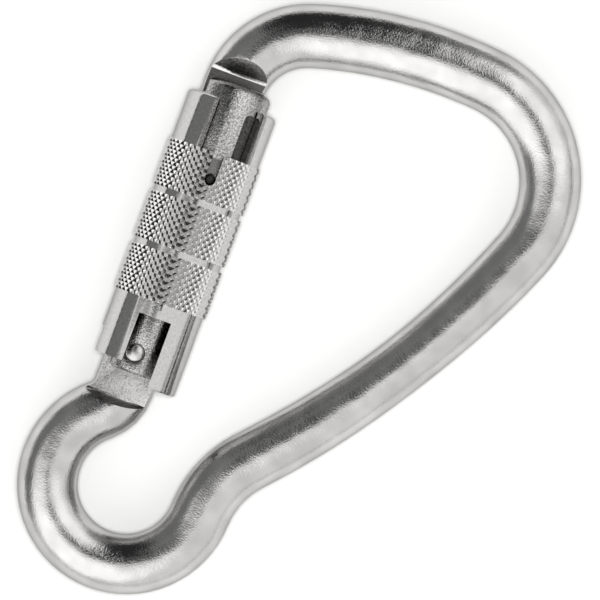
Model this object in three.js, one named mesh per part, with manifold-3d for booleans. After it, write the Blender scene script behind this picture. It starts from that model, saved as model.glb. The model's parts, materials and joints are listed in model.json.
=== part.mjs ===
// Auto-locking steel carabiner: a bent round bar with a small captive eye, closed by a hinged gate
// that carries a spring-loaded, knurled locking sleeve.
// Millimetres, +Z up. The carabiner lies flat: +Y runs along the gate from its hinge to its nose,
// +X points from the gate to the spine. The model is built about the hinge pin, with x = 0 on the
// sleeve's axis and z = 0 on the mid-plane, and is moved at the end so that the origin is the middle
// of the underside of its bounding box.

import * as THREE from "three";
import { mergeVertices } from "three/addons/utils/BufferGeometryUtils.js";
import Module from "manifold-3d";

const wasm = await Module();
wasm.setup();

// ---- driving dimensions -------------------------------------------------------------------------

const runningGap = 0.3; // radial or side clearance between pieces that move or fit together
const pinGap = 0.15; // radial clearance round the pressed and riveted pins
const overcut = 1; // cutters reach this far past the metal they cut

const barDiameter = 12; // forged stock
const tangSetBack = 0.9; // the bar's line lies this far outside the sleeve's axis at hinge and nose
const tangThickness = 5; // the flats milled on the bar at hinge and nose
const gateLength = 56.2; // hinge pin centre to the end of the gate

// The bar, bent in one plane from the hinge round the eye, the spine and the bow to the nose.
// A positive turn bends towards the inside of the carabiner. The spine's and the bow's long arcs
// have no radius here: those two close the loop on the nose.
const hingeDrop = 7.5; // straight below the hinge pin
const setBackRadius = 7;
const setBackTurn = -49.6;
const setBackStraight = 0.6;
const eyeInnerRadius = 9.6;
const eyeTurn = 227.8;
const neckRadius = 20.3;
const neckTurn = -40.1;
const neckStraight = 4.6;
const spineTurn = 19.6;
const cornerRadius = 22;
const cornerTurn = 107.4;
const bowTurn = 22.3;
const noseRadius = 15.4;
const noseBendBelowGateEnd = 0.4; // the last bend ends this far below the end of the gate
const bowSwell = 0.45; // extra half-width of the forged bow in the plane of the bend
const spineWaist = 0.35; // half-width lost along the middle of the spine

const hingePinRadius = 1.6;
const rivetHeadRadius = 2;
const rivetHeadHeight = 0.55;
const rivetSeatDrop = 0.2; // rivet head's seat below the chord that its rim would cut in the gate
const hingeShoulder = 9.8; // hinge pin centre to the end of the milled flat
const camHeight = 5.2; // flat on top of the hinge tang that the plunger presses on
const noseShoulderGap = 2.3; // end of the gate to the end of the nose's milled flat
const hingeRamp = 70; // slope of the shoulders where the hinge's flats run out, in degrees
const noseRamp = 48; // and of those at the nose

const spindleStep = 1.1; // the gate is turned down by this much along the spring
const earLength = 3.9; // hinge ears below the hinge pin centre
const earWidth = 9.6;
const hingeSlotPlay = 0.4; // gap above the round end of the hinge tang
const headChamfer = 1.5;
const headRoundShare = 0.3; // share of the chamfer that rounds its outer edge
const headFlat = 5.8; // flat on the outer side of the gate's head, from the axis
const recessInner = 3.4; // recess in the head's front, beside the upper window's edge, from the axis
const recessFloor = 4;
const recessTopInset = 1.2; // below the sleeve's top edge
const recessLength = 13.9;

const noseTangLength = 11.2; // nose tang inside the gate
const noseTangInner = 2.5; // inner edge of the nose tang, from the axis
const nosePinRadius = 1.5;
const nosePinInset = 0.3; // nose pin centre, from the axis towards the spine
const nosePinShare = 0.4; // share of the front cheek's wall that the nose pin enters
const noseHook = 2.2; // height of the hook under the nose pin
const noseSlotPlay = 0.5; // gap below the nose tang

const collarWall = 1.95;
const knurlProud = 0.45;
const sleeveTopInset = 3.6; // sleeve's top edge below the end of the gate
const upperCollar = 10.5; // plain collar above the knurl
const knurlBottom = 10.8;
const knurlBands = 3;
const knurlGroove = 1.3;
const knurlGrooveDepth = 0.6;
const knurlChamfer = 0.35;
const rimChamfer = 0.7;
const skirtWall = 0.95;
const skirtOuterEnd = -2.2; // lower edge of the skirt on the side away from the spine
const skirtInnerEnd = -5.7; // lower edge of the long finger next to the spine
const sleeveRestTurn = 5; // the sleeve rests turned this many degrees towards the spine
const frontWindowOuter = 26; // upper window: degrees from the sleeve's front to its outer edge
const frontWindowInner = 44; // and to its edge towards the spine
const keyholeWidth = 2.1;
const keyholeLength = 6.4;
const keyholeOffset = 0.4; // keyhole's middle from the window's middle, towards the spine
const hingeWindowPlay = 1.6; // lower window, front: wider than the tang by this much
const hingeWindowOffset = -0.35; // lower window's middle, towards the spine
const hingeWindowTop = 7.8;
const fingerReliefDepth = 0.6; // thinning inside the long finger's end, where it passes the tang
const fingerReliefHeight = 4;
const fingerReliefSpan = 26; // degrees from the lower window's edge
const skirtSlotWidth = 6.2; // slot in the skirt on the side away from the spine
const skirtSlotTop = 3;
const rearWindow = 56; // rear window, degrees round the sleeve
const noseRelief = 91; // degrees of relief from the rear window towards the outside
const reliefOverrun = 3; // degrees of clearance beside the nose tang

const sleeveSeat = 9.3; // underside of the sleeve's inner flange
const flangeThickness = 2;
const ringThickness = 1;
const ringGrooveDepth = 0.8;
const washerThickness = 0.8;
const sleeveSpringWire = 1;
const sleeveSpringTurns = 6;
const springChamberPlay = 0.4;
const sleeveLift = 3; // travel of the sleeve towards the nose

const guidePinRadius = 1;
const guidePinProud = 0.9;
const guidePinWall = 1; // metal left between the guide pin and the gate's bore
const guideTrackDepth = 0.9;

const plungerRadius = 2;
const plungerLength = 6.5;
const plungerChamfer = 0.4;
const gateSpringWire = 0.7;
const gateSpringTurns = 9;
const gateBoreLength = 26;

// ---- sizes that follow from them ----------------------------------------------------------------

const barRadius = barDiameter / 2;
const tangHalf = tangThickness / 2;
const slotHalf = tangHalf + runningGap;
const tangX = -tangSetBack;

const headRadius = barRadius + tangSetBack;
const spindleRadius = headRadius - spindleStep;
const spindleBore = spindleRadius + runningGap;
const sleeveBore = headRadius + runningGap;
const collarRadius = sleeveBore + collarWall;
const knurlRadius = collarRadius + knurlProud;
const skirtBore = collarRadius - skirtWall;

const sleeveTop = gateLength - sleeveTopInset;
const windowBottom = sleeveTop - upperCollar;
const keyholeBottom = windowBottom - keyholeLength;
const guidePinHeight = keyholeBottom + guidePinRadius + runningGap;
const trackTop = guidePinHeight + guidePinRadius + runningGap;
const trackBottom = guidePinHeight - guidePinRadius - runningGap - sleeveLift;
const springShoulder = trackBottom + runningGap;

const noseTangEnd = gateLength - noseTangLength;
const nosePinHeight = noseTangEnd + noseHook + nosePinRadius + runningGap;
const hingeSlotTop = barRadius + hingeSlotPlay;
const noseSlotBottom = noseTangEnd - noseSlotPlay;

const rivetSeat = Math.sqrt(spindleRadius ** 2 - rivetHeadRadius ** 2) - rivetSeatDrop;
const nosePinFront = slotHalf + nosePinShare * (headRadius - slotHalf);
const keyholeAngle = sleeveRestTurn + THREE.MathUtils.radToDeg(keyholeOffset / collarRadius);

const sleeveSpringMean = spindleBore + sleeveSpringWire / 2;
const sleeveSpringOuter = spindleBore + sleeveSpringWire;
const springChamber = sleeveSpringOuter + springChamberPlay;
const flangeTop = sleeveSeat + flangeThickness;
const washerBottom = flangeTop + runningGap;
const washerTop = washerBottom + washerThickness;
const washerOuter = sleeveSpringOuter + springChamberPlay / 4;
const ringHigh = sleeveSeat - runningGap;
const ringLow = ringHigh - ringThickness;
const ringGroove = spindleRadius - ringGrooveDepth;
const ringOuter = skirtBore - runningGap;

const plungerTip = camHeight + runningGap;
const plungerTop = plungerTip + plungerLength;
const gateBore = plungerRadius + runningGap;
const gateBoreTop = hingeSlotTop + gateBoreLength;

// ---- materials ----------------------------------------------------------------------------------

function steel(color, roughness) {
  return new THREE.MeshStandardMaterial({ color, roughness, metalness: 1 });
}

const polishedSteel = steel("#b9b8b8", 0.28);
const turnedSteel = steel("#c6c5c5", 0.34);
const blastedSteel = steel("#a7a6a5", 0.48);
const springSteel = steel("#8f8f92", 0.35);
const pinSteel = steel("#bdbdbf", 0.3);

// ---- solids -------------------------------------------------------------------------------------

// A closed three.js geometry as a solid that can be cut and joined.
function solid(geometry) {
  const plain = geometry.clone();
  plain.deleteAttribute("normal");
  plain.deleteAttribute("uv");
  const merged = mergeVertices(plain);
  return new wasm.Manifold(
    new wasm.Mesh({
      numProp: 3,
      vertProperties: new Float32Array(merged.attributes.position.array),
      triVerts: new Uint32Array(merged.index.array),
    }),
  );
}

// A named mesh from a cut solid.
function meshOf(name, body, material) {
  const { vertProperties, triVerts } = body.getMesh();
  const geometry = new THREE.BufferGeometry();
  geometry.setAttribute("position", new THREE.BufferAttribute(vertProperties, 3));
  geometry.setIndex(new THREE.BufferAttribute(triVerts, 1));
  geometry.computeVertexNormals();
  const mesh = new THREE.Mesh(geometry, material);
  mesh.name = name;
  return mesh;
}

// A box between two corners.
function block(low, high) {
  const size = high.map((value, i) => value - low[i]);
  const box = new THREE.BoxGeometry(...size);
  box.translate(...low.map((value, i) => value + size[i] / 2));
  return solid(box);
}

// A solid turned about the gate's axis, from [radius, height] pairs.
function turned(profile, segments = 40) {
  const points = profile.map(([radius, height]) => new THREE.Vector2(radius, height));
  return solid(new THREE.LatheGeometry(points, segments));
}

// A flat ring about the gate's axis.
function flatRing(inner, outer, low, high) {
  return turned([[inner, low], [outer, low], [outer, high], [inner, high], [inner, low]]);
}

// A round pin along Z through (x, y), from zLow to zHigh.
function pinAlongZ(x, y, radius, zLow, zHigh, segments = 24) {
  const pin = new THREE.CylinderGeometry(radius, radius, zHigh - zLow, segments);
  pin.rotateX(Math.PI / 2);
  pin.translate(x, y, (zLow + zHigh) / 2);
  return solid(pin);
}

// A wedge round the gate's axis, between two angles in degrees. Zero is the front (+Z), and
// angles grow towards the spine (+X).
function sector(from, to, radius, low, high) {
  const shape = new THREE.Shape();
  shape.absarc(0, 0, radius, THREE.MathUtils.degToRad(from), THREE.MathUtils.degToRad(to), false);
  shape.lineTo(0, 0);
  const wedge = new THREE.ExtrudeGeometry(shape, {
    depth: high - low,
    bevelEnabled: false,
    curveSegments: 16,
  });
  // the outline's first axis becomes +Z, its second +X, and its depth +Y
  wedge.rotateX(-Math.PI / 2);
  wedge.rotateY(-Math.PI / 2);
  wedge.translate(0, low, 0);
  return solid(wedge);
}

// A prism along Z from a flat outline, between two heights.
function prism(shape, low, high) {
  const body = new THREE.ExtrudeGeometry(shape, {
    depth: high - low,
    bevelEnabled: false,
    curveSegments: 8,
  });
  body.translate(0, 0, low);
  return solid(body);
}

// Cutters for axial slots through the front of the sleeve, between two heights: square-ended, and
// rounded at the end that looks towards the hinge (-1) or the nose (1).
function squareSlot(width, low, high) {
  return block([-width / 2, low, 0], [width / 2, high, 2 * knurlRadius]);
}

function roundedSlot(width, low, high, end) {
  const half = width / 2;
  const centre = end < 0 ? low + half : high - half;
  const square = end < 0 ? high : low;
  const start = end < 0 ? Math.PI : 0;
  const shape = new THREE.Shape();
  shape.absarc(0, centre, half, start, start + Math.PI, false);
  shape.lineTo(-end * half, square);
  shape.lineTo(end * half, square);
  return prism(shape, 0, 2 * knurlRadius);
}

// A coil spring about the gate's axis between two heights.
function coilSpring(meanRadius, wire, turns, low, high, stepsPerTurn) {
  class Helix extends THREE.Curve {
    getPoint(t, target = new THREE.Vector3()) {
      const angle = 2 * Math.PI * turns * t;
      const height = low + wire / 2 + t * (high - low - wire);
      return target.set(meanRadius * Math.sin(angle), height, meanRadius * Math.cos(angle));
    }
  }
  const section = new THREE.Shape();
  section.absarc(0, 0, wire / 2, 0, 2 * Math.PI, false);
  const coil = new THREE.ExtrudeGeometry(section, {
    steps: turns * stepsPerTurn,
    curveSegments: 4,
    extrudePath: new Helix(),
  });
  return solid(coil);
}

// ---- the bar's line -----------------------------------------------------------------------------

// The bend schedule, with the two closing radii given.
function barSchedule(spineRadius, bowRadius) {
  const turns = setBackTurn + eyeTurn + neckTurn + spineTurn + cornerTurn + bowTurn;
  return [
    { straight: hingeDrop },
    { radius: setBackRadius, turn: setBackTurn },
    { straight: setBackStraight },
    { radius: eyeInnerRadius + barRadius, turn: eyeTurn },
    { radius: neckRadius, turn: neckTurn },
    { straight: neckStraight },
    { radius: spineRadius, turn: spineTurn },
    { radius: cornerRadius, turn: cornerTurn },
    { radius: bowRadius, turn: bowTurn },
    { radius: noseRadius, turn: 360 - turns },
  ];
}

// The point and heading reached after a share (0 to 1) of one bend or straight.
function alongPiece({ point, heading }, piece, share) {
  if (piece.straight !== undefined) {
    const x = point.x + Math.cos(heading) * piece.straight * share;
    const y = point.y + Math.sin(heading) * piece.straight * share;
    return { point: new THREE.Vector2(x, y), heading };
  }
  const side = Math.sign(piece.turn) * piece.radius;
  const after = heading + THREE.MathUtils.degToRad(piece.turn) * share;
  const x = point.x + side * (Math.sin(after) - Math.sin(heading));
  const y = point.y - side * (Math.cos(after) - Math.cos(heading));
  return { point: new THREE.Vector2(x, y), heading: after };
}

function pieceLength(piece) {
  return piece.straight ?? piece.radius * Math.abs(THREE.MathUtils.degToRad(piece.turn));
}

const lineStart = { point: new THREE.Vector2(tangX, 0), heading: -Math.PI / 2 };
const noseBendEnd = new THREE.Vector2(tangX, gateLength - noseBendBelowGateEnd);

function scheduleEnd(pieces) {
  return pieces.reduce((state, piece) => alongPiece(state, piece, 1), lineStart).point;
}

// An arc of fixed turn moves its far end in proportion to its radius, so the two closing radii are
// the solution of two linear equations.
function closedSchedule() {
  const bare = scheduleEnd(barSchedule(0, 0));
  const perSpine = scheduleEnd(barSchedule(1, 0)).sub(bare);
  const perBow = scheduleEnd(barSchedule(0, 1)).sub(bare);
  const gap = noseBendEnd.clone().sub(bare);
  const area = perSpine.cross(perBow);
  const bends = barSchedule(gap.cross(perBow) / area, perSpine.cross(gap) / area);
  return [...bends, { straight: noseBendEnd.y - noseTangEnd }];
}

const schedule = closedSchedule();
const barLength = schedule.reduce((sum, piece) => sum + pieceLength(piece), 0);

// The bar's centreline, by distance from the hinge pin.
class BarLine extends THREE.Curve {
  getPoint(t, target = new THREE.Vector3()) {
    let rest = t * barLength;
    let state = lineStart;
    for (const piece of schedule) {
      const share = Math.min(rest / pieceLength(piece), 1);
      state = alongPiece(state, piece, share);
      rest -= share * pieceLength(piece);
    }
    return target.set(state.point.x, state.point.y, 0);
  }
}

// Distances from the hinge pin to the middle of the spine and of the bow.
const spineIndex = 6;
const bowIndex = 8;
function middleOf(index) {
  const before = schedule.slice(0, index).reduce((sum, piece) => sum + pieceLength(piece), 0);
  return before + pieceLength(schedule[index]) / 2;
}

// Half-width added to the round bar in the plane of the bend.
function forgedExtra(distance) {
  const bump = (middle, reach) => Math.exp(-(((distance - middle) / reach) ** 2));
  const spineReach = pieceLength(schedule[spineIndex]) / 3;
  const bowReach = pieceLength(schedule[bowIndex]);
  const swell = bowSwell * bump(middleOf(bowIndex), bowReach);
  return swell - spineWaist * bump(middleOf(spineIndex), spineReach);
}

// The swept bar, widened and waisted as the forging leaves it.
function sweptBar() {
  const line = new BarLine();
  line.arcLengthDivisions = 800;
  const steps = 100;
  const section = new THREE.Shape();
  section.absarc(0, 0, barRadius, 0, 2 * Math.PI, false);
  const bar = new THREE.ExtrudeGeometry(section, { steps, curveSegments: 9, extrudePath: line });
  const stations = line.getSpacedPoints(steps);
  const position = bar.attributes.position;
  const vertex = new THREE.Vector3();
  for (let i = 0; i < position.count; i++) {
    vertex.fromBufferAttribute(position, i);
    let nearest = 0;
    let least = Infinity;
    stations.forEach((station, k) => {
      const away = Math.hypot(vertex.x - station.x, vertex.y - station.y);
      if (away < least) {
        least = away;
        nearest = k;
      }
    });
    const stretch = 1 + forgedExtra((nearest / steps) * barLength) / barRadius;
    vertex.sub(stations[nearest]).multiply(new THREE.Vector3(stretch, stretch, 1));
    vertex.add(stations[nearest]);
    position.setXYZ(i, vertex.x, vertex.y, vertex.z);
  }
  return solid(bar);
}

// ---- forged body --------------------------------------------------------------------------------

// Cutter that mills one flat of a tang: it reaches from the shoulder towards the gate, and its end
// face slopes, which leaves a half-moon shoulder on the round bar.
function tangCutter(shoulder, reach, side, ramp) {
  const depth = barRadius + overcut;
  const run = (depth - tangHalf) / Math.tan(THREE.MathUtils.degToRad(ramp));
  const away = Math.sign(shoulder - reach);
  const shape = new THREE.Shape();
  shape.moveTo(shoulder, tangHalf);
  shape.lineTo(shoulder + away * run, depth);
  shape.lineTo(reach, depth);
  shape.lineTo(reach, tangHalf);
  shape.closePath();
  const width = 2 * (headRadius + overcut);
  const cutter = new THREE.ExtrudeGeometry(shape, { depth: width, bevelEnabled: false });
  // outline (y, z) and depth along x
  cutter.rotateX(Math.PI / 2);
  cutter.rotateZ(Math.PI / 2);
  cutter.translate(-width / 2, 0, 0);
  const body = solid(cutter);
  return side > 0 ? body : body.mirror([0, 0, 1]);
}

function forgedBody() {
  let body = sweptBar();
  for (const side of [1, -1]) {
    body = body.subtract(tangCutter(-hingeShoulder, barRadius + overcut, side, hingeRamp));
    const noseShoulder = gateLength + noseShoulderGap;
    body = body.subtract(tangCutter(noseShoulder, noseTangEnd - overcut, side, noseRamp));
  }
  const far = barDiameter;
  // round end of the hinge tang, with its cam flat
  body = body.add(pinAlongZ(tangX, 0, barRadius, -tangHalf, tangHalf, 36));
  body = body.subtract(block([-far, camHeight, -far], [far, barRadius + overcut, far]));
  body = body.subtract(pinAlongZ(tangX, 0, hingePinRadius + pinGap, -far, far));
  // inner edge of the nose tang, and the notch that hooks the nose pin
  const tangTop = gateLength + runningGap;
  body = body.subtract(block([noseTangInner, noseTangEnd - overcut, -far], [far, tangTop, far]));
  const notch = nosePinRadius + runningGap;
  body = body.subtract(pinAlongZ(nosePinInset, nosePinHeight, notch, -far, far));
  const notchLow = [nosePinInset, nosePinHeight - notch, -far];
  body = body.subtract(block(notchLow, [noseTangInner + overcut, nosePinHeight + notch, far]));
  return body;
}

// Rivet through the hinge: a shank with a low domed head at each end.
function hingeRivet() {
  const dome = [0, 30, 60, 90].map((angle) => {
    const a = THREE.MathUtils.degToRad(angle);
    return [rivetHeadRadius * Math.cos(a), rivetSeat + rivetHeadHeight * Math.sin(a)];
  });
  const upper = [[hingePinRadius, rivetSeat], ...dome];
  const lower = upper.map(([radius, height]) => [radius, -height]).reverse();
  const rivet = turned([...lower, ...upper], 28).rotate([90, 0, 0]);
  return rivet.translate([tangX, 0, 0]);
}

// ---- gate ---------------------------------------------------------------------------------------

function gateBody() {
  const headRound = headRoundShare * headChamfer;
  let body = turned([
    [0, -earLength],
    [spindleRadius, -earLength],
    [spindleRadius, springShoulder],
    [headRadius, springShoulder],
    [headRadius, gateLength - headChamfer],
    [headRadius - headRound, gateLength - headRound],
    [headRadius - headChamfer, gateLength],
    [0, gateLength],
  ]);
  const far = 2 * headRadius;
  // forks over the hinge tang and the nose tang
  const below = -earLength - overcut;
  const above = gateLength + overcut;
  body = body.subtract(block([-far, below, -slotHalf], [far, hingeSlotTop, slotHalf]));
  const slotInner = noseTangInner + 2 * runningGap;
  body = body.subtract(block([-far, noseSlotBottom, -slotHalf], [slotInner, above, slotHalf]));
  // ears narrowed below the hinge pin, and the flat on the outer side of the head
  const earShoulder = -hingePinRadius / 2;
  body = body.subtract(block([-far, below, -far], [tangX - earWidth / 2, earShoulder, far]));
  body = body.subtract(block([tangX + earWidth / 2, below, -far], [far, earShoulder, far]));
  body = body.subtract(block([-far, sleeveTop + runningGap, -far], [-headFlat, above, far]));
  const recessTop = sleeveTop - recessTopInset;
  const recessLow = [recessInner, recessTop - recessLength, recessFloor];
  body = body.subtract(block(recessLow, [far, recessTop, far]));
  // bore for the plunger and its spring, hinge pin hole, blind hole for the nose pin
  body = body.subtract(turned([[0, 0], [gateBore, 0], [gateBore, gateBoreTop], [0, gateBoreTop]], 24));
  body = body.subtract(pinAlongZ(tangX, 0, hingePinRadius + pinGap, -far, far));
  const headHole = rivetHeadRadius + pinGap;
  body = body.subtract(pinAlongZ(tangX, 0, headHole, rivetSeat - pinGap, far));
  body = body.subtract(pinAlongZ(tangX, 0, headHole, -far, pinGap - rivetSeat));
  const pinHole = nosePinRadius + pinGap;
  body = body.subtract(pinAlongZ(nosePinInset, nosePinHeight, pinHole, -far, nosePinFront + pinGap));
  // hole for the guide pin and groove for the retaining ring
  body = body.subtract(guidePin(pinGap));
  return body.subtract(flatRing(ringGroove, far, ringLow - pinGap, ringHigh + pinGap));
}

// The nose pin is pressed in from the rear and stops inside the front cheek.
function nosePin() {
  const rear = -Math.sqrt(headRadius ** 2 - (nosePinRadius + nosePinInset) ** 2);
  return pinAlongZ(nosePinInset, nosePinHeight, nosePinRadius, rear, nosePinFront);
}

// Guide pin, set in the front of the gate on the keyhole's line; grown for the hole it sits in.
function guidePin(grow) {
  const radius = guidePinRadius + grow;
  const root = gateBore + guidePinWall - grow;
  const end = headRadius + guidePinProud + grow;
  return pinAlongZ(0, guidePinHeight, radius, root, end, 20).rotate([0, keyholeAngle, 0]);
}

// Plunger: a flat-ended pin in the gate's bore that presses on the hinge tang's cam.
function gatePlunger() {
  return turned(
    [
      [0, plungerTip],
      [plungerRadius - plungerChamfer, plungerTip],
      [plungerRadius, plungerTip + plungerChamfer],
      [plungerRadius, plungerTop],
      [0, plungerTop],
    ],
    20,
  );
}

function gateSpring() {
  const mean = plungerRadius - gateSpringWire / 2;
  const low = plungerTop + runningGap;
  return coilSpring(mean, gateSpringWire, gateSpringTurns, low, gateBoreTop - runningGap, 10);
}

function sleeveSpring() {
  const low = washerTop + runningGap;
  const high = springShoulder - runningGap;
  return coilSpring(sleeveSpringMean, sleeveSpringWire, sleeveSpringTurns, low, high, 14);
}

// ---- locking sleeve -----------------------------------------------------------------------------

// Outer outline from the skirt's end to the top rim: plain collar, knurled bands parted by grooves,
// plain collar.
function sleeveOutline() {
  const outline = [
    [collarRadius - rimChamfer / 2, skirtInnerEnd],
    [collarRadius, skirtInnerEnd + rimChamfer / 2],
    [collarRadius, knurlBottom],
  ];
  const bandLength = (windowBottom - knurlBottom - (knurlBands - 1) * knurlGroove) / knurlBands;
  const floor = knurlRadius - knurlGrooveDepth;
  for (let band = 0; band < knurlBands; band++) {
    const low = knurlBottom + band * (bandLength + knurlGroove);
    const high = low + bandLength;
    if (band > 0) outline.push([floor, low]);
    outline.push([knurlRadius - knurlChamfer / 2, low]);
    outline.push([knurlRadius, low + knurlChamfer]);
    outline.push([knurlRadius, high - knurlChamfer]);
    outline.push([knurlRadius - knurlChamfer / 2, high]);
    if (band < knurlBands - 1) outline.push([floor, high]);
  }
  outline.push([collarRadius, windowBottom]);
  outline.push([collarRadius, sleeveTop - rimChamfer]);
  outline.push([collarRadius - rimChamfer, sleeveTop]);
  return outline;
}

function lockingSleeve() {
  const track = headRadius + guideTrackDepth + runningGap;
  const bore = [
    [sleeveBore, sleeveTop],
    [sleeveBore, trackTop],
    [track, trackTop],
    [track, trackBottom],
    [springChamber, trackBottom],
    [springChamber, flangeTop],
    [spindleBore, flangeTop],
    [spindleBore, sleeveSeat],
    [skirtBore, sleeveSeat],
    [skirtBore, skirtInnerEnd],
  ];
  const outline = sleeveOutline();
  let sleeve = turned([...outline, ...bore, outline[0]], 48);
  const outer = 2 * knurlRadius;
  const above = sleeveTop + overcut;
  const below = skirtInnerEnd - overcut;

  // front: upper window with its keyhole, and the lower window over the hinge
  sleeve = sleeve.subtract(sector(-frontWindowOuter, frontWindowInner, outer, windowBottom, above));
  const keyhole = roundedSlot(keyholeWidth, keyholeBottom, windowBottom + overcut, -1);
  sleeve = sleeve.subtract(keyhole.translate([keyholeOffset, 0, 0]));
  const hingeWindow = tangThickness + hingeWindowPlay;
  const lowerWindow = squareSlot(hingeWindow, below, hingeWindowTop);
  sleeve = sleeve.subtract(lowerWindow.translate([hingeWindowOffset, 0, 0]));
  const windowInner = hingeWindowOffset + hingeWindow / 2;
  const windowEdge = THREE.MathUtils.radToDeg(Math.asin(windowInner / collarRadius));
  const reliefRadius = skirtBore + fingerReliefDepth;
  const reliefTop = skirtInnerEnd + fingerReliefHeight;
  sleeve = sleeve.subtract(sector(0, windowEdge + fingerReliefSpan, reliefRadius, below, reliefTop));

  // rear: window that lets the nose out, with the relief beside it
  const halfTang = THREE.MathUtils.radToDeg(Math.asin(slotHalf / sleeveBore)) + reliefOverrun;
  const rearEnd = 180 - Math.max(rearWindow / 2, halfTang);
  const reliefEnd = 180 + rearWindow / 2 + noseRelief;
  sleeve = sleeve.subtract(sector(rearEnd, reliefEnd, outer, windowBottom, above));

  // the skirt ends high on the outer side and has a slot there
  sleeve = sleeve.subtract(sector(180, 360, outer, below, skirtOuterEnd));
  const slot = roundedSlot(skirtSlotWidth, below, skirtSlotTop, 1);
  sleeve = sleeve.subtract(slot.rotate([0, -90 - sleeveRestTurn, 0]));

  return sleeve.rotate([0, sleeveRestTurn, 0]);
}

// ---- assembly -----------------------------------------------------------------------------------

const retainingRing = flatRing(ringGroove + pinGap, ringOuter, ringLow, ringHigh);
const thrustWasher = flatRing(spindleBore, washerOuter, washerBottom, washerTop);

const carabiner = new THREE.Group();
carabiner.add(meshOf("forged_body", forgedBody(), polishedSteel));
carabiner.add(meshOf("hinge_rivet", hingeRivet(), pinSteel));
carabiner.add(meshOf("gate_body", gateBody(), blastedSteel));
carabiner.add(meshOf("nose_pin", nosePin(), pinSteel));
carabiner.add(meshOf("guide_pin", guidePin(0), pinSteel));
carabiner.add(meshOf("gate_plunger", gatePlunger(), pinSteel));
carabiner.add(meshOf("gate_spring", gateSpring(), springSteel));
carabiner.add(meshOf("retaining_ring", retainingRing, springSteel));
carabiner.add(meshOf("thrust_washer", thrustWasher, pinSteel));
carabiner.add(meshOf("sleeve_spring", sleeveSpring(), springSteel));
carabiner.add(meshOf("locking_sleeve", lockingSleeve(), turnedSteel));

const bounds = new THREE.Box3().setFromObject(carabiner, true);
const middle = bounds.getCenter(new THREE.Vector3());
carabiner.position.set(-middle.x, -middle.y, -bounds.min.z);

export default carabiner;
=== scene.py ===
import json
import math

import bmesh
import bpy
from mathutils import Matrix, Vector


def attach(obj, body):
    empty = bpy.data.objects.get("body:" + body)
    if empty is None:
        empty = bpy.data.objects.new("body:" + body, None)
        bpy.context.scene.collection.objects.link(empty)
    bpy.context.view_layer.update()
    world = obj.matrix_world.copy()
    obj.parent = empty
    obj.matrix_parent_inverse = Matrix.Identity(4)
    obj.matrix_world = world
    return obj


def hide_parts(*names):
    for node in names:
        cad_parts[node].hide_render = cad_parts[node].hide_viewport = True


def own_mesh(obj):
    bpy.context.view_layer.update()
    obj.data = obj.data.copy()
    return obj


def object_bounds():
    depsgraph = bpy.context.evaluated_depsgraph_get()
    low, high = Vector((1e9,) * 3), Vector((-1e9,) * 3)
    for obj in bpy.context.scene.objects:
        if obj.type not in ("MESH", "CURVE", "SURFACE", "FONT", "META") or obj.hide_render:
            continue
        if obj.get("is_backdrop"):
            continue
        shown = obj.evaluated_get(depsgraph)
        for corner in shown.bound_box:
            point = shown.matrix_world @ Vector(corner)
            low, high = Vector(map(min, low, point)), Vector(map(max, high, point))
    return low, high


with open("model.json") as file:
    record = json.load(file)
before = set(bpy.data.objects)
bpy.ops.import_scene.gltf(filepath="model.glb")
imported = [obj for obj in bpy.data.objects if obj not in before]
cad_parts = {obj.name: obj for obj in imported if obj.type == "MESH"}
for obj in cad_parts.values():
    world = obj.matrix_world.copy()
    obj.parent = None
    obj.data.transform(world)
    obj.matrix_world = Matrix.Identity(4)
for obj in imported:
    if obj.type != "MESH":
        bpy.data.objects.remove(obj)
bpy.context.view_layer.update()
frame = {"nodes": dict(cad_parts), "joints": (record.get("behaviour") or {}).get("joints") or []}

# ---- Forged body ---------------------------------------------------------------------------------
# A 12 mm round stainless bar, bent cold into hinge, eye, spine, bow and nose and then forged, which
# leaves the bow wider and the spine waisted. Both ends are milled flat to a 5 mm tang. Tumbled and
# polished all over, it mirrors the studio through a fine orange-peel skin.

MM = 0.001
joints = {joint["name"]: joint for joint in frame["joints"]}
sleeve_axis = Vector(joints["sleeve_twist"]["pos_m"])


def at(x, y, z=0.0):
    """The place x mm from the sleeve's axis, y mm above the hinge pin, z mm above the mid-plane."""
    return sleeve_axis + Vector((x, y, z)) * MM


def clear():
    """Deselects every object."""
    if bpy.context.object and bpy.context.object.mode == "EDIT":
        bpy.ops.object.mode_set(mode="OBJECT")
    bpy.ops.object.select_all(action="DESELECT")


def edit():
    """Puts the piece just added, and nothing else, in edit mode."""
    bpy.ops.object.mode_set(mode="EDIT")
    bpy.ops.mesh.select_all(action="SELECT")


bar_radius = 6.0
bar_sides = 48
tang_x = -0.9        # the bar's line at hinge and nose, from the sleeve's axis
tang_half = 2.5
hinge_pin_radius = 1.6
# straights (mm) and bends (radius in mm, turn in degrees), from the hinge pin to the nose tang
bends = [(7.5, 0), (7, -49.6), (0.6, 0), (15.6, 227.8), (20.3, -40.1), (4.6, 0),
         (184.936, 19.6), (22, 107.4), (91.609, 22.3), (15.4, 72.6), (10.8, 0)]
spine_middle, spine_reach, spine_waist = 126.6, 21.1, 0.35
bow_middle, bow_reach, bow_swell = 217.3, 35.7, 0.45
step_length = 1.5


def half_width(distance):
    """The bar's half-width in the plane of its bends, at a distance along it."""
    swell = bow_swell * math.exp(-((distance - bow_middle) / bow_reach) ** 2)
    waist = spine_waist * math.exp(-((distance - spine_middle) / spine_reach) ** 2)
    return bar_radius + swell - waist


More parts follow.
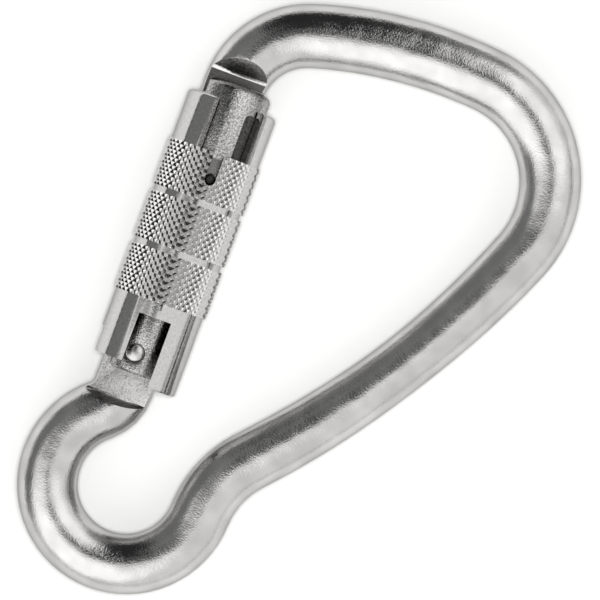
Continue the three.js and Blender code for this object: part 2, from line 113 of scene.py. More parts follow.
clear()
bpy.ops.mesh.primitive_circle_add(vertices=bar_sides, radius=bar_radius * MM, fill_type="NGON",
    location=at(tang_x, 0), rotation=(math.pi / 2, 0, 0))
edit()
place = at(tang_x, 0)
heading = -math.pi / 2
travelled = 0.0
for size, turn in bends:
    length = size if turn == 0 else size * abs(math.radians(turn))
    steps = max(2, round(length / step_length))
    reach = math.copysign(size * MM, turn)
    centre = place + Vector((-math.sin(heading), math.cos(heading), 0)) * reach
    for _ in range(steps):
        before = half_width(travelled)
        travelled += length / steps
        if turn:
            step_turn = math.radians(turn) / steps
            bpy.ops.mesh.spin(steps=1, angle=-step_turn, center=centre, axis=(0, 0, 1))
            heading += step_turn
            place = centre - Vector((-math.sin(heading), math.cos(heading), 0)) * reach
        else:
            move = Vector((math.cos(heading), math.sin(heading), 0)) * (size / steps * MM)
            bpy.ops.mesh.extrude_region_move(TRANSFORM_OT_translate={"value": move})
            place = place + move
        growth = half_width(travelled) / before
        bpy.ops.transform.resize(value=(growth, growth, 1), center_override=place)
bpy.ops.mesh.select_all(action="SELECT")
bpy.ops.mesh.remove_doubles(threshold=1e-6)
bpy.ops.mesh.normals_make_consistent(inside=False)


def settle(name, angle=30):
    """Names the finished piece, smooths it below an angle and puts its place into its mesh."""
    bpy.ops.object.mode_set(mode="OBJECT")
    piece = bpy.context.object
    piece.name = name
    piece.data.name = name
    bpy.ops.object.transform_apply(location=True, rotation=True, scale=True)
    bpy.ops.object.shade_smooth_by_angle(angle=math.radians(angle))
    return piece


forging = settle("forged_bar")


def apply(piece, kind, **settings):
    """Adds a modifier to a piece and applies it."""
    clear()
    piece.select_set(True)
    bpy.context.view_layer.objects.active = piece
    modifier = piece.modifiers.new(kind.lower(), kind)
    for key, value in settings.items():
        setattr(modifier, key, value)
    bpy.ops.object.modifier_apply(modifier=modifier.name)


def cut(piece, cutter, operation="DIFFERENCE"):
    """Cuts a piece with a cutter, or joins the two, and throws the cutter away."""
    bpy.ops.object.mode_set(mode="OBJECT")
    apply(piece, "BOOLEAN", operation=operation, solver="MANIFOLD", object=cutter)
    bpy.data.objects.remove(cutter)


def pin_cutter(x, y, radius, z_low, z_high, sides=64):
    """A round cutter along Z."""
    clear()
    bpy.ops.mesh.primitive_cylinder_add(vertices=sides, radius=radius * MM,
        depth=(z_high - z_low) * MM, location=at(x, y, (z_low + z_high) / 2))
    edit()
    return bpy.context.object


# the round end of the hinge tang, a hair inside the bar's own skin
hair = 0.01
cut(forging, pin_cutter(tang_x, 0, bar_radius - hair, -bar_radius, bar_radius), "UNION")


def box_cutter(low, high):
    """A box between two places, left in edit mode so that it can be shaped."""
    clear()
    low, high = Vector(low), Vector(high)
    bpy.ops.mesh.primitive_cube_add(size=MM, location=at(*((low + high) / 2)), scale=high - low)
    edit()
    return bpy.context.object


def pick(kind, test):
    """Selects the vertices, edges or faces of the piece in edit mode whose place passes a test."""
    bpy.ops.mesh.select_mode(type=kind)
    bpy.ops.mesh.select_all(action="DESELECT")
    piece = bpy.context.object
    shape = bmesh.from_edit_mesh(piece.data)
    parts = {"VERT": shape.verts, "EDGE": shape.edges, "FACE": shape.faces}[kind]
    for part in parts:
        points = [part.co] if kind == "VERT" else [vertex.co for vertex in part.verts]
        spots = [(piece.matrix_world @ point - sleeve_axis) / MM for point in points]
        if all(test(spot) for spot in spots):
            part.select_set(True)
    shape.select_flush_mode()
    bmesh.update_edit_mesh(piece.data)


def near(one, other):
    """Whether two measures in mm are the same, but for rounding."""
    return abs(one - other) < 0.01


shoulder_fillet, fillet_share = 1.3, 0.42   # the fillet's radius, and the share of it a slope takes
hinge_slope, nose_slope = 70, 48   # degrees that the two shoulders rise at


def tang_cutter(shoulder, end, side, slope):
    """Mills one flat, from its shoulder towards the gate; the corner under the slope is rounded."""
    width, depth = 10, 9.0
    away = math.copysign(1, shoulder - end)
    low = (-width, min(shoulder, end), min(side * tang_half, side * depth))
    high = (width, max(shoulder, end), max(side * tang_half, side * depth))
    cutter = box_cutter(low, high)
    run = away * (depth - tang_half) / math.tan(math.radians(slope))
    pick("VERT", lambda p: near(p.y, shoulder) and near(abs(p.z), depth))
    bpy.ops.transform.translate(value=(0, run * MM, 0))
    pick("EDGE", lambda p: near(p.y, shoulder) and near(abs(p.z), tang_half))
    bpy.ops.mesh.bevel(offset=shoulder_fillet * MM * fillet_share, segments=6, profile=0.5)
    return cutter


gate_end = 56.2
nose_tang_end = 45.0
hinge_shoulder, hinge_tang_end = -9.7, 7
nose_shoulder = gate_end + 2.1
for side in (1, -1):
    cut(forging, tang_cutter(hinge_shoulder, hinge_tang_end, side, hinge_slope))
    cut(forging, tang_cutter(nose_shoulder, nose_tang_end - 1, side, nose_slope))
# cam flat for the plunger, hole for the rivet, and the notch that hooks the nose pin
cam_height = 5.2
rivet_play = 0.1
nose_tang_inner = 2.5
nose_pin_x, nose_pin_y, nose_notch = 0.3, 49.0, 1.8
past = 8   # this far from the sleeve's axis, a cut is through the bar
cut(forging, box_cutter((-past, cam_height, -past), (past, past, past)))
cut(forging, pin_cutter(tang_x, 0, hinge_pin_radius + rivet_play, -past, past))
cut(forging, box_cutter((nose_tang_inner, nose_tang_end - 1, -past),
                        (2 * bar_radius, gate_end + 0.3, past)))
cut(forging, pin_cutter(nose_pin_x, nose_pin_y, nose_notch, -past, past))
cut(forging, box_cutter((nose_pin_x, nose_pin_y - nose_notch, -past),
                        (nose_tang_inner + 1, nose_pin_y + nose_notch, past)))


def break_edges(piece, width):
    """Takes the sharpness off a piece's milled edges, by a width in mm."""
    apply(piece, "BEVEL", width=width * MM, segments=2, limit_method="ANGLE",
          angle_limit=math.radians(32))


break_edges(forging, 0.12)
forging = settle("forged_bar", 35)


def linear(code):
    """An sRGB hex colour as the linear values that the shader takes."""
    shares = [int(code[i:i + 2], 16) / 255 for i in (1, 3, 5)]
    return [s / 12.92 if s <= 0.04045 else ((s + 0.055) / 1.055) ** 2.4 for s in shares] + [1.0]


def add(material, kind, inputs, **settings):
    """Adds a node to a material; an input is a value or the output that it is linked from."""
    tree = material.node_tree
    made = tree.nodes.new(kind)
    for key, value in settings.items():
        setattr(made, key, value)
    for key, value in inputs.items():
        if isinstance(value, bpy.types.NodeSocket):
            tree.links.new(value, made.inputs[key])
        else:
            made.inputs[key].default_value = value
    return made


def new_material(name):
    """A material with no nodes in it yet; its last shader and its output are added to it
    afterwards.
    """
    material = bpy.data.materials.new(name)
    material.use_nodes = True
    material.node_tree.nodes.clear()
    return material


def grain(material, size, detail=2.0, roughness=0.5):
    """Noise on the piece's own coordinates, with grains of a size in mm."""
    coordinates = add(material, "ShaderNodeTexCoord", {})
    return add(material, "ShaderNodeTexNoise", {"Vector": coordinates.outputs["Object"],
        "Scale": 1 / (size * MM), "Detail": detail, "Roughness": roughness}).outputs["Fac"]


noise_low, noise_high = 0.3, 0.7   # what the noise seldom leaves


def between(material, value, low, high):
    """A noise value spread between two numbers."""
    return add(material, "ShaderNodeMapRange", {"Value": value, "From Min": noise_low,
        "From Max": noise_high, "To Min": low, "To Max": high}).outputs["Result"]


def beyond(material, low, high, before=0.0, after=1.0):
    """A value that changes between two heights in mm above the hinge pin."""
    coordinates = add(material, "ShaderNodeTexCoord", {})
    place = add(material, "ShaderNodeSeparateXYZ", {"Vector": coordinates.outputs["Object"]})
    return add(material, "ShaderNodeMapRange", {"Value": place.outputs["Y"],
        "From Min": at(0, low).y, "From Max": at(0, high).y,
        "To Min": before, "To Max": after}).outputs["Result"]


rim_tint = "#bcbcbc"   # steel doesn't turn quite white where it is seen edge-on


def shade(material, tones, tone, roughness, height, depth):
    """The metal itself: two tones mixed by a noise, its roughness, and bumps of a depth in mm."""
    colour = add(material, "ShaderNodeValToRGB", {"Fac": tone})
    dark_stop, pale_stop = colour.color_ramp.elements
    dark_stop.position, pale_stop.position = noise_low, noise_high
    dark_stop.color, pale_stop.color = linear(tones[0]), linear(tones[1])
    bump = add(material, "ShaderNodeBump", {"Height": height, "Distance": depth * MM,
        "Strength": 1.0})
    metal = add(material, "ShaderNodeBsdfPrincipled", {"Base Color": colour.outputs["Color"],
        "Metallic": 1.0, "Roughness": roughness, "Normal": bump.outputs["Normal"],
        "Specular Tint": linear(rim_tint)})
    add(material, "ShaderNodeOutputMaterial", {"Surface": metal.outputs["BSDF"]})


# Stainless steel, tumbled and polished: nearly a mirror. Its orange-peel skin, drawn at 0.38 mm for
# a real 0.2 to 0.4 mm, breaks the reflections' edges into sparkle; the slow waves left by the
# forging make them wander.
polished_steel = new_material("tumbled polished stainless")
orange_peel = grain(polished_steel, 0.38, 2.0, 0.7)
forging_waves = grain(polished_steel, 5.0, 1.0)
skin = add(polished_steel, "ShaderNodeMath", {0: orange_peel, 1: 0.35, 2: forging_waves},
           operation="MULTIPLY_ADD").outputs[0]
shade(polished_steel, ("#bdbcbb", "#cecdcc"), forging_waves,
      between(polished_steel, orange_peel, 0.02, 0.08), skin, 0.14)

# The milled flats are bead-blasted: an even grey sparkle of dents, drawn at 0.3 mm for a real 0.2.
# The nose's flat is darkened with painted shade, standing in for the shade of the narrow trench
# between the gate's end and the shoulder.
blasted_flat = new_material("bead blasted flat")
dents = grain(blasted_flat, 0.3, 2.0, 0.6)
hinge_shift, nose_shade_amount = -0.16, 0.5   # taken off the dents' tone at the hinge and at the nose
# painted shade: the dents' tone drops above 31 mm, on the nose's flat
nose_shade_mask = beyond(blasted_flat, 30, 31, hinge_shift, nose_shade_amount)
dent_tone = add(blasted_flat, "ShaderNodeMath", {0: dents, 1: nose_shade_mask},
                operation="SUBTRACT").outputs[0]
shade(blasted_flat, ("#5f5e5d", "#e0dfdd"), dent_tone, between(blasted_flat, dents, 0.24, 0.4),
      dents, 0.09)

# The sloping shoulders stay as the cutter leaves them: smooth, but dull and darker than the rest.
milled_shoulder = new_material("milled shoulder")
cutter_marks = grain(milled_shoulder, 0.6, 1.5)
shade(milled_shoulder, ("#777675", "#908f8e"), cutter_marks,
      between(milled_shoulder, cutter_marks, 0.2, 0.3), cutter_marks, 0.02)


def dress(piece, *materials):
    """Gives a piece its materials, with the first one all over."""
    piece.data.materials.clear()
    for material in materials:
        piece.data.materials.append(material)
    for face in piece.data.polygons:
        face.material_index = 0


dress(forging, polished_steel, blasted_flat, milled_shoulder)
flat_index, shoulder_index = 1, 2
hinge_ramp, nose_ramp = (-14, -9), (57, 62.5)   # the heights that the two shoulders lie between
for face in forging.data.polygons:
    spot = (face.center - sleeve_axis) / MM
    slope = math.degrees(math.atan2(abs(face.normal.y), abs(face.normal.z)))
    sloping = min(abs(slope - hinge_slope), abs(slope - nose_slope)) < 1
    on_ramp = any(low < spot.y < high for low, high in (hinge_ramp, nose_ramp))
    if abs(face.normal.z) > 0.98 and abs(abs(spot.z) - tang_half) < 0.05:
        face.material_index = flat_index
    elif sloping and on_ramp and abs(face.normal.x) < 0.01:
        face.material_index = shoulder_index
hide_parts("forged_body")
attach(forging, "body")

# ---- Hinge rivet ---------------------------------------------------------------------------------
# A ground steel pin pushed through gate and tang and riveted over at both ends, so that each end is
# a low dome sunk in a countersink in the gate's ear.


def turned(origin, direction, outline, sides, hollow=False):
    """A piece turned on a lathe: a ring drawn along its axis through (radius, distance) pairs."""
    clear()
    direction = Vector(direction).normalized()
    radius, along = outline[0]
    bpy.ops.mesh.primitive_circle_add(vertices=sides, radius=radius * MM,
        fill_type="NOTHING" if hollow else "NGON", location=origin + direction * along * MM,
        rotation=direction.to_track_quat("Z", "Y").to_euler())
    edit()
    for next_radius, next_along in outline[1:]:
        move = direction * (next_along - along) * MM
        bpy.ops.mesh.extrude_region_move(TRANSFORM_OT_translate={"value": move})
        scale = next_radius / radius
        bpy.ops.transform.resize(value=(scale, scale, scale),
                                 center_override=origin + direction * next_along * MM)
        radius, along = next_radius, next_along
    bpy.ops.mesh.select_all(action="SELECT")
    bpy.ops.mesh.remove_doubles(threshold=1e-6)
    bpy.ops.mesh.normals_make_consistent(inside=False)
    return bpy.context.object


rivet_end = 5.5
rivet_radius = 1.9
rivet_dome = [(1.55, rivet_end - 0.8), (rivet_radius, rivet_end - 0.4),
              (rivet_radius, rivet_end - 0.3), (1.8, rivet_end - 0.1), (1.6, rivet_end + 0.1),
              (1.3, rivet_end + 0.28), (0.9, rivet_end + 0.42), (0.5, rivet_end + 0.5),
              (0.2, rivet_end + 0.52)]
turned(at(tang_x, 0), (0, 0, 1), [(r, -z) for r, z in reversed(rivet_dome)] + rivet_dome, 40)
rivet = settle("riveted_hinge_pin", 40)

# Ground steel: fine and even, with a slight grey from the riveting.
ground_steel = new_material("ground pin steel")
rubbed = grain(ground_steel, 0.4)
shade(ground_steel, ("#b6b5b4", "#cdcccb"), rubbed, between(ground_steel, rubbed, 0.22, 0.34),
      rubbed, 0.01)
dress(rivet, ground_steel)
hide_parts("hinge_rivet")
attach(rivet, "body")

# ---- Gate ----------------------------------------------------------------------------------------
# A stainless bar turned to a head and a thinner spindle, forked at both ends to straddle the tangs,
# bored for its plunger, and bead-blasted. It hangs on the rivet inside the locking sleeve.

head_radius = 6.9
spindle_radius = 5.8
gate = turned(at(0, 0), (0, 1, 0), [(spindle_radius - 0.4, -3.95), (spindle_radius, -3.5),
    (spindle_radius, 33), (head_radius, 33), (head_radius, 54.9), (head_radius - 0.35, 55.6),
    (head_radius - 0.9, 56.0), (head_radius - 1.5, gate_end)], 96)
slot_half = 2.8
hinge_fork_top, nose_fork_bottom, nose_fork_side = 6.4, 44.5, 3.1
ear_half, ear_top = 4.8, -1
head_flat, head_flat_bottom = -5.8, 52.9
out, under, over = 12, -6, 60   # clear of the gate sideways, below and above
cuts = [
    ((-out, under, -slot_half), (out, hinge_fork_top, slot_half)),               # hinge fork
    ((-out, nose_fork_bottom, -slot_half), (nose_fork_side, over, slot_half)),   # nose fork
    ((-out, under, -out), (tang_x - ear_half, ear_top, out)),                    # narrow ears
    ((tang_x + ear_half, under, -out), (out, ear_top, out)),
    ((-out, head_flat_bottom, -out), (head_flat, over, out)),                    # head's flat
]
for low, high in cuts:
    cut(gate, box_cutter(low, high))
plunger_bore, bore_depth = 2.3, 32.4
cut(gate, turned(at(0, 0), (0, 1, 0), [(plunger_bore, 0), (plunger_bore, bore_depth)], 48))
rivet_hole = 1.58
cut(gate, pin_cutter(tang_x, 0, rivet_hole, -out, out))
recess_left, recess_bottom, recess_top, recess_floor = 3.4, 37.5, 51.4, 4.0
recess_corner = 0.9
recess = box_cutter((recess_left, recess_bottom, recess_floor), (9, recess_top, out))
pick("EDGE", lambda p: near(p.y, recess_top) and near(p.x, recess_left))
bpy.ops.mesh.bevel(offset=recess_corner * MM, segments=6, profile=0.5)
cut(gate, recess)
for side in (1, -1):
    countersink = turned(at(tang_x, 0), (0, 0, side),
        [(1.6, rivet_end - 0.85), (rivet_radius + 0.02, rivet_end - 0.42),
         (rivet_radius + 0.03, rivet_end + 2)], 48)
    cut(gate, countersink)
nose_pin_hole, nose_pin_depth = 1.55, 3.9   # blind: it ends under the front of the head
cut(gate, pin_cutter(nose_pin_x, nose_pin_y, nose_pin_hole, -out, nose_pin_depth))
pin_angle = math.radians(8.4)
pin_height = 36.85
pin_direction = (math.sin(pin_angle), 0, math.cos(pin_angle))
guide_hole = 1.05
cut(gate, turned(at(0, pin_height), pin_direction, [(guide_hole, 3.2), (guide_hole, 9)], 40))
ring_groove = [(5.0, 7.85), (9, 7.85), (9, 9.15), (5.0, 9.15), (5.0, 7.85)]
cut(gate, turned(at(0, 0), (0, 1, 0), ring_groove, 96, hollow=True))
break_edges(gate, 0.14)
gate = settle("forked_gate", 35)

# Bead-blasted stainless: dents, drawn at 0.32 mm for a real 0.2 mm, that sparkle over the broad
# reflections. From 20 to 41.4 mm above the hinge pin the gate is darkened with painted shade, which
# stands in for the shade that the keyhole's walls cast on it.
blasted_gate = new_material("bead blasted stainless")
pits = grain(blasted_gate, 0.32, 2.0, 0.6)
# painted shade of the keyhole's walls: its top, its bottom and how much it darkens
shade_top, shade_bottom, shade_strength = 41.4, 20, 0.4
below_top = add(blasted_gate, "ShaderNodeMath",
                {0: beyond(blasted_gate, shade_top, shade_top - 0.6), 1: shade_strength},
                operation="MULTIPLY").outputs[0]
slot_shade = add(blasted_gate, "ShaderNodeMath",
            {0: beyond(blasted_gate, shade_bottom, shade_bottom + 1), 1: below_top},
            operation="MULTIPLY").outputs[0]
pit_tone = add(blasted_gate, "ShaderNodeMath", {0: pits, 1: slot_shade},
               operation="SUBTRACT").outputs[0]
shade(blasted_gate, ("#6e6d6c", "#d4d3d1"), pit_tone, between(blasted_gate, pits, 0.08, 0.2),
      pits, 0.08)

# The milled recess beside the window's edge is near-black with painted shade, standing in for the
# dark reflection of the sleeve's wall that lies on the gate there.
shaded_recess = new_material("painted shade recess")
recess_grain = grain(shaded_recess, 0.5)
shade(shaded_recess, ("#2e2d2c", "#5c5b59"), recess_grain, between(shaded_recess, recess_grain, 0.3, 0.45),
      recess_grain, 0.02)
dress(gate, blasted_gate, shaded_recess)
recess_index = 1
slack = 0.05
# the recess's faces take the painted shade
for face in gate.data.polygons:
    spot = (face.center - sleeve_axis) / MM
    inside = (spot.x > recess_left - slack and spot.z > recess_floor - slack
              and recess_bottom - 0.5 < spot.y < recess_top + slack)
    if inside and math.hypot(spot.x, spot.z) < head_radius - 0.1:
        face.material_index = recess_index
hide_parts("gate_body")
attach(gate, "gate")

# ---- Nose pin, guide pin -------------------------------------------------------------------------
# The nose pin is ground steel, pressed in from the rear across the gate's fork, and the nose hooks
# it. The guide pin is a near-black stub in the front of the gate that runs in the sleeve's track.

turned(at(nose_pin_x, nose_pin_y), (0, 0, 1),
       [(0.6, -6.72), (1.2, -6.66), (1.5, -6.4), (1.5, 3.6)], 40)
nose_pin = settle("nose_pin_pressed")
dress(nose_pin, ground_steel)
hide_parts("nose_pin")
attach(nose_pin, "gate")

turned(at(0, pin_height), pin_direction,
       [(1.02, 3.35), (1.02, 7.4), (0.95, 7.6), (0.75, 7.75), (0.3, 7.8)], 40)
guide_pin = settle("guide_pin_black")
# Near-black and nearly matt: two dark tones mixed by a noise.
near_black_pin = new_material("near black pin")
pin_mottle = grain(near_black_pin, 0.5)
shade(near_black_pin, ("#232323", "#4a4a49"), pin_mottle, between(near_black_pin, pin_mottle, 0.35, 0.5), pin_mottle, 0.01)
dress(guide_pin, near_black_pin)
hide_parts("guide_pin")
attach(guide_pin, "gate")

# ---- Plunger, retaining ring, thrust washer ------------------------------------------------------
# The small parts inside: a ground plunger on the cam, a spring-steel ring in the gate's groove, and
# a washer between spring and sleeve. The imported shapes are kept.

# Drawn spring wire: grey, with faint lines and a dull bloom from its heat treatment.
spring_wire = new_material("drawn spring steel")
bloom = grain(spring_wire, 1.2)
shade(spring_wire, ("#7c7b7a", "#a3a2a2"), bloom, between(spring_wire, bloom, 0.3, 0.42),
      grain(spring_wire, 0.25), 0.005)
kept = {"gate_plunger": ground_steel, "thrust_washer": ground_steel, "retaining_ring": spring_wire}
for name, material in kept.items():
    dress(frame["nodes"][name], material)

# ---- Gate spring, sleeve spring ------------------------------------------------------------------
# Drawn steel wire coiled cold, with the end turns closed. The thin one pushes the plunger out of
# the gate; the wide one round the spindle pushes the sleeve down.


def coiled(name, mean_radius, wire, turns, low, high):
    """A coil about the sleeve's axis, between two heights in mm above the hinge pin."""
    clear()
    bpy.ops.mesh.primitive_circle_add(vertices=12, radius=wire / 2 * MM, fill_type="NGON",
        location=at(0, low + wire / 2, mean_radius), rotation=(0, math.pi / 2, 0))
    edit()
    steps = 24
    closed_rise = wire * 1.05   # an end turn all but touches the next
    open_rise = (high - low - wire - 2 * closed_rise) / (turns - 2)
    for turn in range(turns):
        rise = closed_rise if turn in (0, turns - 1) else open_rise
        for _ in range(steps):
            bpy.ops.mesh.spin(steps=1, angle=2 * math.pi / steps, center=at(0, 0), axis=(0, 1, 0))
            bpy.ops.transform.translate(value=(0, rise / steps * MM, 0))
    bpy.ops.mesh.select_all(action="SELECT")
    bpy.ops.mesh.remove_doubles(threshold=1e-6)
    bpy.ops.mesh.normals_make_consistent(inside=False)
    spring = settle(name, 40)
    dress(spring, spring_wire)
    return spring


# piece, node it stands for, mean radius, wire, turns and the two ends' heights, in mm; then the
# joint that presses it, and by how many mm
springs = [
    ("gate_spring_coil", "gate_spring", 1.65, 0.7, 9, 12.3, 32.1, "gate_swing", 1.2),
    ("sleeve_spring_coil", "sleeve_spring", 6.6, 1.0, 6, 12.7, 32.7, "sleeve_lift", 3.0),
]
for name, node, mean_radius, wire, turns, low, high, joint, press in springs:
    spring = coiled(name, mean_radius, wire, turns, low, high)
    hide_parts(node)
    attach(spring, "gate")
    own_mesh(spring)

# ---- Locking sleeve ------------------------------------------------------------------------------
# A stainless tube turned with two plain collars and a rolled diamond knurl in three bands. Its
# windows, keyhole and skirt are milled. It slides and twists on the gate, round the sleeve spring.

collar_radius = 9.15
groove_radius = 9.0
sleeve_top, knurl_top, knurl_bottom = 52.6, 42.1, 10.8
sleeve_outline = [
    (8.75, -5.7), (9.0, -5.6), (collar_radius, -5.35), (collar_radius, knurl_bottom),
    (groove_radius, knurl_bottom), (groove_radius, knurl_top), (collar_radius, knurl_top),
    (collar_radius, 51.8), (8.95, 52.3), (8.5, sleeve_top), (7.3, sleeve_top), (7.2, 52.5),
    (7.2, 38.3), (8.1, 38.3), (8.1, 32.7), (7.5, 32.7), (7.5, 11.3), (6.1, 11.3), (6.1, 9.3),
    (8.2, 9.3), (8.2, -1.7), (8.5, -5.6), (8.75, -5.7),
]
sleeve = turned(at(0, 0), (0, 1, 0), sleeve_outline, 120, hollow=True)


def wedge_cutter(start, end, low, high):
    """A radial wedge about the sleeve's axis; its angles run from the front towards the spine."""
    cutter = box_cutter((-1, low, -1), (1, high, 1))
    inner, outer = 2, 15
    corners = [(-1, -1, start, inner), (1, -1, end, inner),
               (-1, 1, start, outer), (1, 1, end, outer)]
    for x, z, angle, radius in corners:
        turn = math.radians(angle)
        move = Vector((radius * math.sin(turn) - x, 0, radius * math.cos(turn) - z)) * MM
        pick("VERT", lambda p: near(p.x, x) and near(p.z, z))
        bpy.ops.transform.translate(value=move)
    bpy.ops.mesh.select_all(action="SELECT")
    bpy.ops.mesh.normals_make_consistent(inside=False)
    return cutter


keyhole_left, keyhole_right, keyhole_bottom = 0.12, 2.22, 35.7


def keyhole_cutter():
    """The keyhole slot, round at its lower end."""
    nearly_half = 0.499
    cutter = box_cutter((keyhole_left, keyhole_bottom, 0), (keyhole_right, knurl_top + 1, 14))
    pick_ends(keyhole_bottom)
    bpy.ops.mesh.bevel(offset=(keyhole_right - keyhole_left) * nearly_half * MM, segments=10,
                       profile=0.5)
    return cutter


def pick_ends(level):
    """Of the cutter in edit mode, selects only the edges at a level that run along its cut."""
    cutter = bpy.context.object
    shape = bmesh.from_edit_mesh(cutter.data)
    for edge in shape.edges:
        ends = [(cutter.matrix_world @ vertex.co - sleeve_axis) / MM for vertex in edge.verts]
        along = ends[0] - ends[1]
        lengthwise = abs(along.z) > 5 or abs(along.x) > 7
        edge.select_set(lengthwise and all(near(end.y, level) for end in ends))
    shape.select_flush_mode()
    bmesh.update_edit_mesh(cutter.data)


upper_window, rear_window = (-21.5, 48), (157, 213)   # degrees round the sleeve, from the front
cut(sleeve, wedge_cutter(*upper_window, knurl_top, sleeve_top + 2))
cut(sleeve, wedge_cutter(*rear_window, knurl_top, sleeve_top + 2))
cut(sleeve, keyhole_cutter())
window_left, window_right, window_top = -2.85, 3.75, 7.8
skirt_right, skirt_bottom = 0.8, -2.2
slot_half_width, slot_top, slot_round = 3.1, 3, 3.09
below, outside = -8, 14
cut(sleeve, box_cutter((window_left, below, 0), (window_right, window_top, outside)))
cut(sleeve, box_cutter((-outside, below, -outside), (skirt_right, skirt_bottom, outside)))
skirt_slot = box_cutter((-outside, below, -slot_half_width), (0, slot_top, slot_half_width))
pick_ends(slot_top)
bpy.ops.mesh.bevel(offset=slot_round * MM, segments=12, profile=0.5)
cut(sleeve, skirt_slot)
break_edges(sleeve, 0.16)

# The knurl: 40 diamonds round, 1.48 mm high, each a blunt pyramid 0.4 mm proud.
diamonds_round = 40
diamond_height = 1.484
valley_radius = 9.2
knurl_depth = 0.4
crest_inset = 0.36   # from a diamond's foot to the blunt crest
rim_share = 0.93     # how far in the rims of a band reach, under the sleeve's skin
band_gap = 1.3
band_height = (knurl_top - knurl_bottom - 2 * band_gap) / 3
band_top = knurl_bottom + band_height
rows = math.ceil(band_height / diamond_height) + 1
first = knurl_bottom - 0.5 * diamond_height
stations = [(valley_radius, first + row * diamond_height) for row in range(rows + 1)]
knurl = turned(at(0, 0), (0, 1, 0), stations, diamonds_round, hollow=True)
bpy.ops.mesh.poke()
shape = bmesh.from_edit_mesh(knurl.data)
bpy.ops.mesh.select_mode(type="EDGE")
bpy.ops.mesh.select_all(action="DESELECT")
for edge in shape.edges:
    spots = [((knurl.matrix_world @ v.co - sleeve_axis) / MM).y for v in edge.verts]
    counts = [(spot - first) / diamond_height for spot in spots]
    on_grid = all(abs(count - round(count)) < 0.1 for count in counts)
    edge.select_set(on_grid and not edge.is_boundary)
shape.select_flush_mode()
bmesh.update_edit_mesh(knurl.data)
bpy.ops.mesh.dissolve_edges(use_verts=False)
bpy.ops.mesh.select_all(action="SELECT")
bpy.ops.mesh.inset(thickness=crest_inset * MM, depth=knurl_depth * MM, use_individual=True)
for level, outward in ((knurl_bottom, (0, -1, 0)), (band_top, (0, 1, 0))):
    bpy.ops.mesh.select_all(action="SELECT")
    bpy.ops.mesh.bisect(plane_co=at(0, level), plane_no=outward, clear_outer=True)
bpy.ops.mesh.select_all(action="SELECT")
bpy.ops.mesh.region_to_loop()
bpy.ops.mesh.extrude_region_move(TRANSFORM_OT_translate={"value": (0, 0, 0)})
bpy.ops.transform.resize(value=(rim_share, 1, rim_share), center_override=at(0, 0))
bpy.ops.mesh.bridge_edge_loops()
bpy.ops.mesh.select_all(action="SELECT")
bpy.ops.mesh.normals_make_consistent(inside=False)
# one band is copied to the other two places; the keyhole runs into the top one
bands = [knurl]
for place in (1, 2):
    clear()
    knurl.select_set(True)
    bpy.context.view_layer.objects.active = knurl
    step = (0, place * (band_height + band_gap) * MM, 0)
    bpy.ops.object.duplicate_move(TRANSFORM_OT_translate={"value": step})
    bands.append(bpy.context.object)
cut(bands[2], keyhole_cutter())
for band in bands:
    cut(sleeve, band, "UNION")
sleeve = settle("knurled_sleeve", 30)

# Turned stainless, tumbled after the knurling: smoother than the gate and duller than the bar.
turned_steel = new_material("turned stainless")
tool_marks = grain(turned_steel, 0.5, 2.0, 0.6)
shade(turned_steel, ("#bdbcbb", "#d0cfce"), tool_marks,
      between(turned_steel, tool_marks, 0.05, 0.12), tool_marks, 0.012)
dress(sleeve, turned_steel)
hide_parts("locking_sleeve")
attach(sleeve, "sleeve")

# ---- Floor, lights and camera --------------------------------------------------------------------
# A pale paper floor under the carabiner, inside a studio dome with two brighter soft panels and a
# dark gap beyond the nose, and a camera straight above, turned so that the gate leans.

clear()
bpy.ops.mesh.primitive_plane_add(size=2.0, location=(0, 0, 0))
floor = bpy.context.object
floor.name = "floor"
paper = new_material("pale paper")
sheet = add(paper, "ShaderNodeBsdfPrincipled", {"Base Color": linear("#c6c6c5"), "Roughness": 0.9})
add(paper, "ShaderNodeOutputMaterial", {"Surface": sheet.outputs["BSDF"]})
floor.data.materials.append(paper)
floor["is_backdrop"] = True

lean = math.radians(20.25)   # the camera is turned by this much about the vertical
aim = at(25.76, 20.9)
dome_level = 0.88
dome_gain = 1.16
# azimuth from the camera's right, angle from the vertical, and the angles within which the panel is
# full and beyond which it has faded, all in degrees; then its brightness
panels = [
    (32, 42, 18, 30, 1.25),      # right, towards the spine's corner
    (235, 46, 28, 38, 1.45),     # left, low
    (168, 90, 28, 40, 0.2),      # dim wall on the left
    (135, 66, 22, 32, 0.2),
    (122, 30, 14, 24, 0.22),
    (0, 98, 12, 28, 0.45),       # dim wall on the right
    (62, 80, 8, 18, 0.3),
    (94, 94, 20, 30, 0.08),      # dark gap beyond the nose
    (92, 62, 19, 26, 0.03),
    (90, 34, 12, 18, 0.03),
    (84, 9, 8, 12, 0.05),        # the hole in the dome above
]
horizon_dim, horizon_fade = 0.6, 0.12   # its brightness there, and how high up the dimming ends

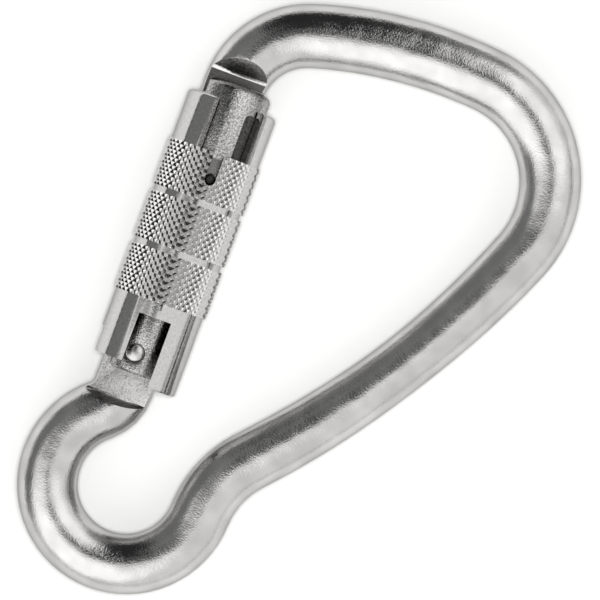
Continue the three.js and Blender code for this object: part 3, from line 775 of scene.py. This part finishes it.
dome = bpy.data.worlds.new("studio dome")
dome.use_nodes = True
dome.node_tree.nodes.clear()
gaze = add(dome, "ShaderNodeTexCoord", {}).outputs["Generated"]
level = dome_level
for azimuth, polar, full, faded, brightness in panels:
    turn = math.radians(azimuth) + lean
    tilt = math.radians(polar)
    toward = (math.sin(tilt) * math.cos(turn), math.sin(tilt) * math.sin(turn), math.cos(tilt))
    closeness = add(dome, "ShaderNodeVectorMath", {0: gaze, 1: toward}, operation="DOT_PRODUCT")
    level = add(dome, "ShaderNodeMapRange", {"Value": closeness.outputs["Value"],
        "From Min": math.cos(math.radians(faded)), "From Max": math.cos(math.radians(full)),
        "To Min": level, "To Max": brightness}, interpolation_type="SMOOTHSTEP").outputs["Result"]
height = add(dome, "ShaderNodeSeparateXYZ", {"Vector": gaze}).outputs["Z"]
horizon = add(dome, "ShaderNodeMapRange", {"Value": height, "From Min": 0.0,
    "From Max": horizon_fade, "To Min": horizon_dim * dome_gain, "To Max": dome_gain},
    interpolation_type="SMOOTHSTEP").outputs["Result"]
strength = add(dome, "ShaderNodeMath", {0: level, 1: horizon}, operation="MULTIPLY").outputs[0]
glow = add(dome, "ShaderNodeBackground", {"Color": (1, 1, 1, 1), "Strength": strength})
add(dome, "ShaderNodeOutputWorld", {"Surface": glow.outputs["Background"]})
bpy.context.scene.world = dome

# a small lamp beside the camera whitens the paper and is kept out of the reflections
lamp_height = 0.9
lamp = bpy.data.lights.new("paper lamp", "AREA")
lamp.size = 0.12
lamp.energy = 9.2
paper_lamp = bpy.data.objects.new("paper lamp", lamp)
paper_lamp.location = aim + Vector((0, 0, lamp_height))
paper_lamp.visible_camera = False
paper_lamp.visible_glossy = False
bpy.context.scene.collection.objects.link(paper_lamp)
bpy.context.scene.view_settings.view_transform = "Standard"

camera = bpy.data.objects.new("camera", bpy.data.cameras.new("camera"))
bpy.context.scene.collection.objects.link(camera)
camera_height = 1.0
view_width = 0.11823
sensor_width = 36
camera.data.sensor_width = sensor_width
camera.data.lens = sensor_width * camera_height / view_width
camera.location = aim + Vector((0, 0, camera_height))
camera.rotation_euler = (0, 0, lean)
bpy.context.scene.camera = camera

# ---- Sizes ---------------------------------------------------------------------------------------

low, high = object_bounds()
